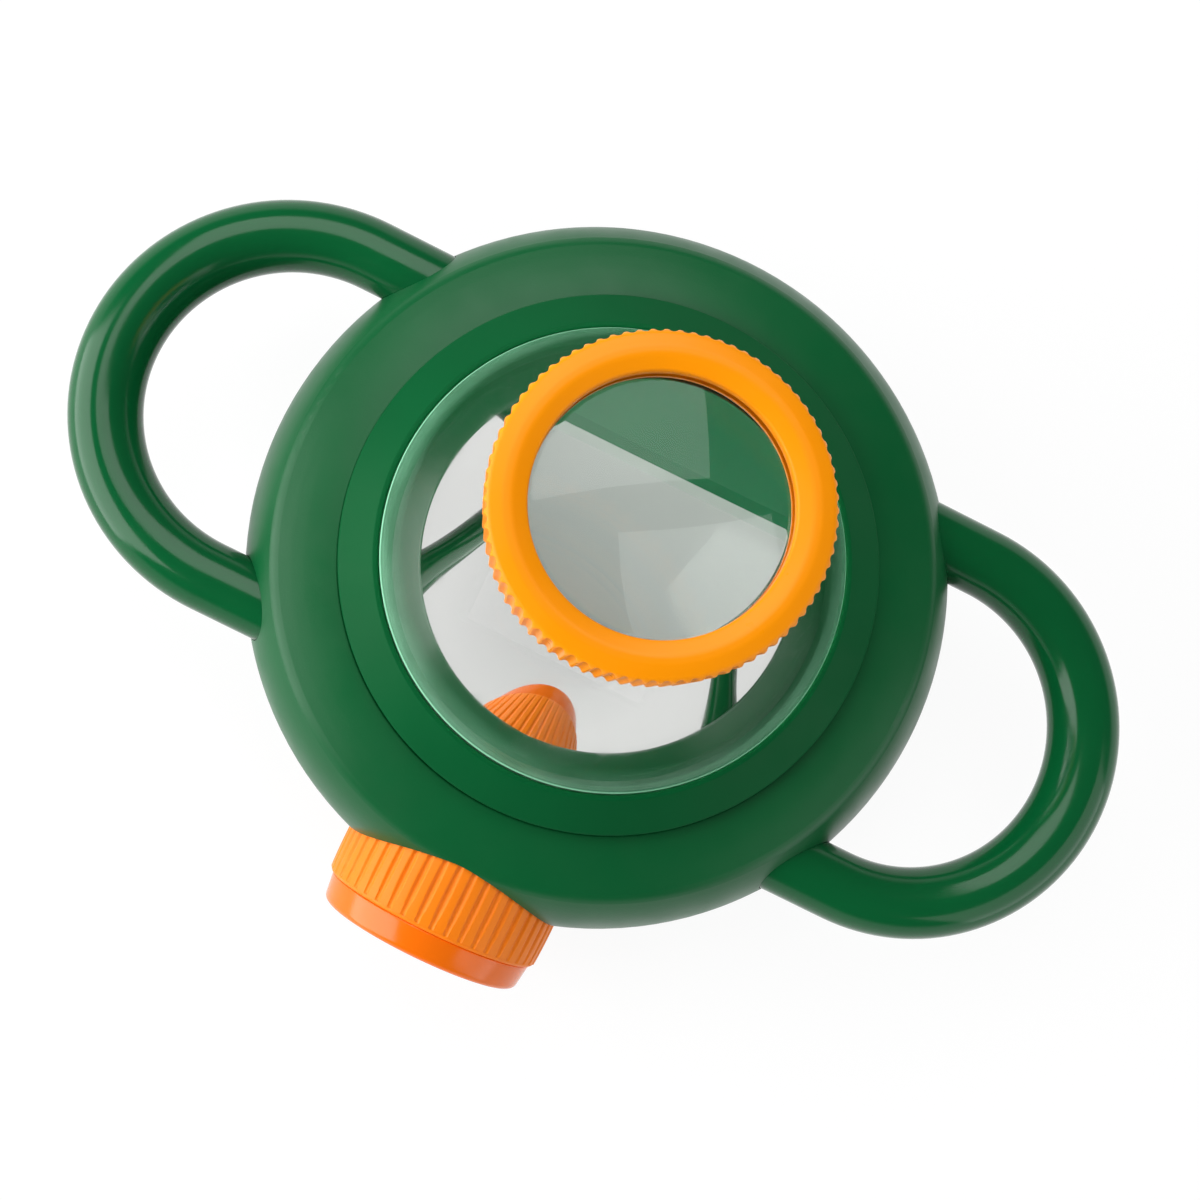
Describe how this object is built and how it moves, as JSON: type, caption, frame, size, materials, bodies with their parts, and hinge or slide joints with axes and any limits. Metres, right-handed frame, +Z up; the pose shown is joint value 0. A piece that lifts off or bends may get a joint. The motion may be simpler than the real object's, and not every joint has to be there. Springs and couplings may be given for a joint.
{
  "type": "bug catcher jar",
  "caption": "Round two-handled bug viewer: a clear cone jar under a lens lid stands on a green base with an inner mirror and a ribbed orange side eyepiece.",
  "frame": {"origin": "centre of the flat bottom", "axes": "+Z up along the jar's axis, +X towards the right handle, -Y out of the side eyepiece"},
  "size_m": [0.2176, 0.1504, 0.1215],
  "materials": {
    "body_green": "satin moulded plastic",
    "handle_green": "gloss",
    "lid_orange": "semi-gloss",
    "eyepiece_orange": "gloss",
    "sleeve_black": "matt",
    "clear_plastic": "clear polished",
    "lens_clear": "clear polished",
    "mirror_silver": "mirror",
    "seal_rubber": "matt",
    "screw_steel": "bright zinc"
  },
  "bodies": {
    "base": {"base_shell": "body_green", "base_plate": "body_green", "base_screws": "screw_steel", "handle_left": "handle_green", "handle_right": "handle_green", "mirror": "mirror_silver", "mirror_carrier": "body_green", "carrier_screws": "screw_steel", "floor_seal": "seal_rubber", "floor_window": "clear_plastic", "jar": "clear_plastic", "jar_collar": "body_green", "collar_screws": "screw_steel", "eyepiece_socket": "sleeve_black"},
    "lid_seat": {"lid_gasket": "seal_rubber"},
    "lid": {"lens_ring": "lid_orange", "magnifier_lens": "lens_clear", "lens_retainer": "lid_orange"},
    "eyepiece_optics": {"eyepiece_lens": "lens_clear", "eyepiece_retainer": "sleeve_black"},
    "eyepiece_grip": {"eyepiece_ring": "eyepiece_orange", "eyepiece_cup": "eyepiece_orange"}
  },
  "joints": [
    {"name": "lid_lift", "type": "slide", "parent": "base", "child": "lid_seat", "axis": [0, 0, 1], "range_m": [0, 0.06]},
    {"name": "lid_turn", "type": "hinge", "parent": "lid_seat", "child": "lid", "pos_m": [0, 0, 0.1126], "axis": [0, 0, 1], "continuous": true},
    {"name": "eyepiece_focus", "type": "slide", "parent": "base", "child": "eyepiece_optics", "axis": [0, -1, 0], "range_m": [0, 0.003]},
    {"name": "eyepiece_turn", "type": "hinge", "parent": "eyepiece_optics", "child": "eyepiece_grip", "pos_m": [0, -0.07, 0.024], "axis": [0, -1, 0], "range_deg": [0, 360]}
  ],
  "couplings": [
    {"joint": "eyepiece_focus", "follows": "eyepiece_turn", "m_per_rad": 0.000477}
  ]
}
